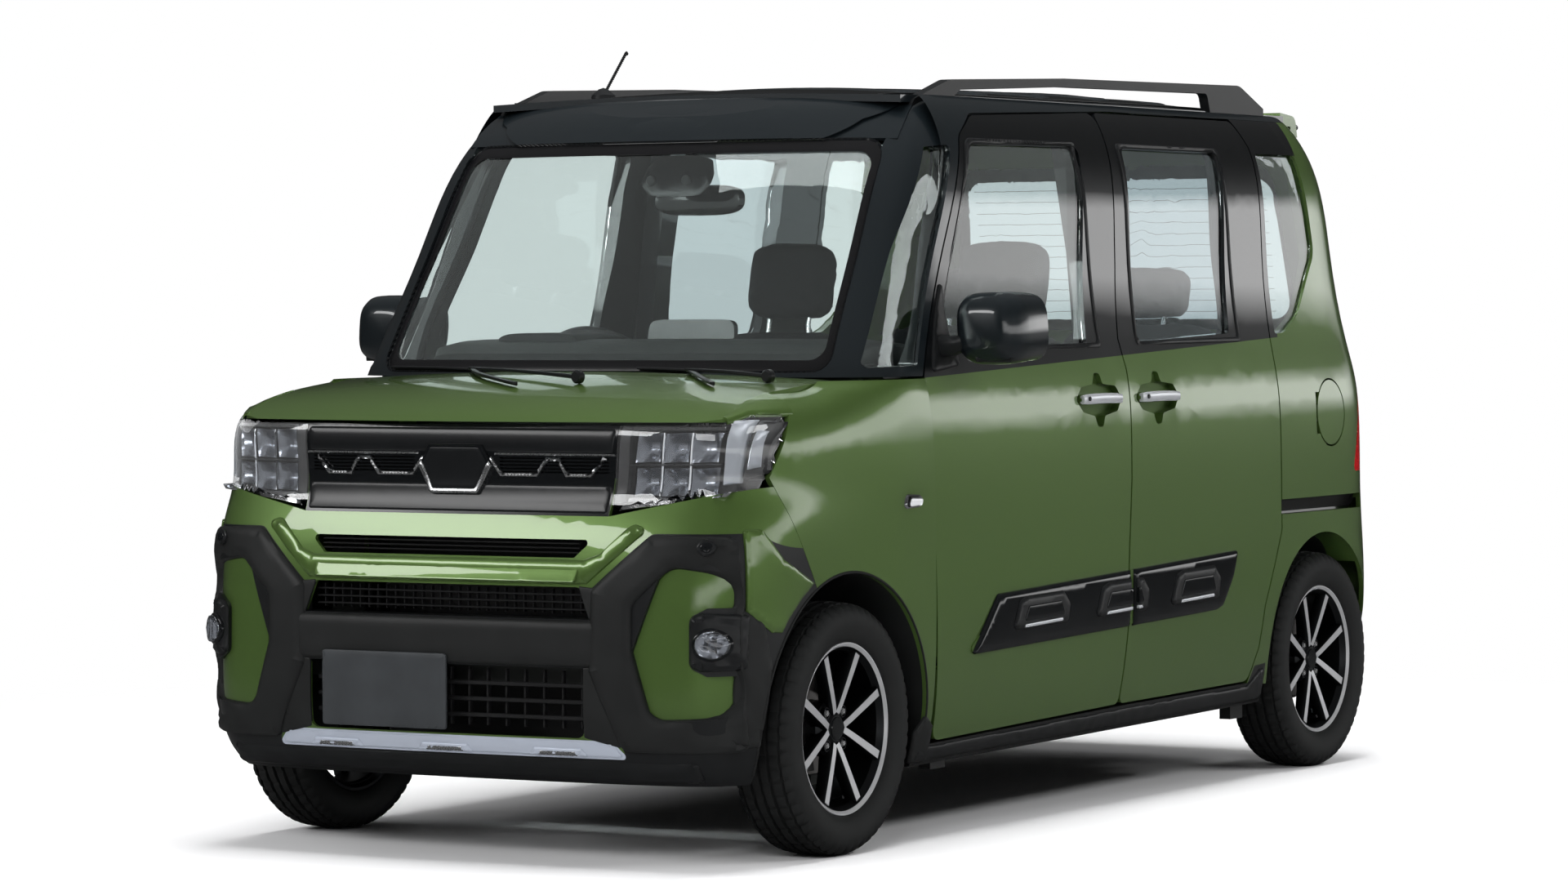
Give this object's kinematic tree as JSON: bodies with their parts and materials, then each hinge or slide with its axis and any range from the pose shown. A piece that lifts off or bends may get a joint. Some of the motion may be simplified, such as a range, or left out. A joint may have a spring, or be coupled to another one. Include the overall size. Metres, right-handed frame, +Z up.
{
  "type": "kei car",
  "caption": "Small tall family car body with hinged front doors, sliding rear doors, tailgate, bonnet, steered front wheels and a hollow cabin.",
  "frame": {"origin": "centre of the bounding box's base, on the ground", "axes": "-Y forward, +X the car's left side, +Z up"},
  "size_m": [1.8088, 3.3949, 1.8239],
  "materials": {
    "paint": "metallic green",
    "roof_paint": "black metallic",
    "structure": "satin",
    "silver": "silver",
    "trim": "grained",
    "gloss_trim": "gloss black",
    "interior": "grained",
    "upholstery": "woven",
    "glass": "clear",
    "lamp": "clear",
    "red_lamp": "clear red",
    "tyre": "rubber",
    "alloy": "machined",
    "cast_metal": "cast",
    "steel": "plain"
  },
  "bodies": {
    "body": {"antenna": "trim", "arch_liners": "trim", "bumper_trim": "trim", "cowl": "trim", "dashboard": "interior", "engine": "cast_metal", "exhaust": "steel", "fixed_side_glass": "glass", "floor_pan": "structure", "front_bumper": "paint", "front_garnish": "silver", "front_seats": "upholstery", "front_structure": "structure", "fuel_tank": "trim", "grille": "trim", "headlamps": "lamp", "quarters": "paint", "rear_axle": "steel", "rear_bumper": "paint", "rear_seat": "upholstery", "roof": "roof_paint", "roof_rails": "gloss_trim", "side_frames": "roof_paint", "sills": "trim", "slide_rails": "trim", "sliding_door_glass": "glass", "sliding_doors": "paint", "tail_lamps": "red_lamp", "windscreen": "glass", "wings": "paint"},
    "door_left": {"door_left": "paint", "door_glass_left": "glass", "mirror_left": "gloss_trim"},
    "door_right": {"door_right": "paint", "door_glass_right": "glass", "mirror_right": "gloss_trim"},
    "tailgate": {"tailgate": "paint", "tailgate_glass": "glass"},
    "bonnet": {"bonnet": "paint"},
    "fuel_lid": {"fuel_lid": "paint"},
    "steering_wheel": {"steering_wheel": "interior"},
    "knuckle_left": {"knuckle_left": "cast_metal"},
    "knuckle_right": {"knuckle_right": "cast_metal"},
    "wheel_front_left": {"rim_front_left": "alloy", "tyre_front_left": "tyre"},
    "wheel_front_right": {"rim_front_right": "alloy", "tyre_front_right": "tyre"},
    "wheel_rear_left": {"rim_rear_left": "alloy", "tyre_rear_left": "tyre"},
    "wheel_rear_right": {"rim_rear_right": "alloy", "tyre_rear_right": "tyre"}
  },
  "joints": [
    {"name": "door_left_hinge", "type": "hinge", "parent": "body", "child": "door_left", "pos_m": [0.718, -0.754, 0.6], "axis": [0, 0, -1], "range_deg": [0, 65]},
    {"name": "door_right_hinge", "type": "hinge", "parent": "body", "child": "door_right", "pos_m": [-0.718, -0.754, 0.6], "axis": [0, 0, 1], "range_deg": [0, 65]},
    {"name": "tailgate_hinge", "type": "hinge", "parent": "body", "child": "tailgate", "pos_m": [0, 1.403, 1.702], "axis": [1, 0, 0], "range_deg": [0, 85]},
    {"name": "bonnet_hinge", "type": "hinge", "parent": "body", "child": "bonnet", "pos_m": [0, -1.09, 1.024], "axis": [-1, 0, 0], "range_deg": [0, 50]},
    {"name": "fuel_lid_hinge", "type": "hinge", "parent": "body", "child": "fuel_lid", "pos_m": [0.721, 1.249, 0.918], "axis": [0, 0, -1], "range_deg": [0, 90]},
    {"name": "steering_column", "type": "hinge", "parent": "body", "child": "steering_wheel", "pos_m": [-0.34, -0.5, 0.985], "axis": [0, 0.8829, 0.4695], "range_deg": [-540, 540]},
    {"name": "steer_left", "type": "hinge", "parent": "body", "child": "knuckle_left", "pos_m": [0.6, -1.1815, 0.18], "axis": [-0.1136, 0, 0.9935], "range_deg": [-35, 35]},
    {"name": "steer_right", "type": "hinge", "parent": "body", "child": "knuckle_right", "pos_m": [-0.6, -1.1815, 0.18], "axis": [0.1136, 0, 0.9935], "range_deg": [-35, 35]},
    {"name": "wheel_front_left_spin", "type": "hinge", "parent": "knuckle_left", "child": "wheel_front_left", "pos_m": [0.65, -1.1815, 0.2785], "axis": [1, 0, 0], "continuous": true},
    {"name": "wheel_front_right_spin", "type": "hinge", "parent": "knuckle_right", "child": "wheel_front_right", "pos_m": [-0.65, -1.1815, 0.2785], "axis": [1, 0, 0], "continuous": true},
    {"name": "wheel_rear_left_spin", "type": "hinge", "parent": "body", "child": "wheel_rear_left", "pos_m": [0.65, 1.2785, 0.2785], "axis": [1, 0, 0], "continuous": true},
    {"name": "wheel_rear_right_spin", "type": "hinge", "parent": "body", "child": "wheel_rear_right", "pos_m": [-0.65, 1.2785, 0.2785], "axis": [1, 0, 0], "continuous": true}
  ],
  "couplings": [
    {"joint": "steer_right", "follows": "steer_left", "ratio": 1},
    {"joint": "steering_column", "follows": "steer_left", "ratio": 15}
  ]
}
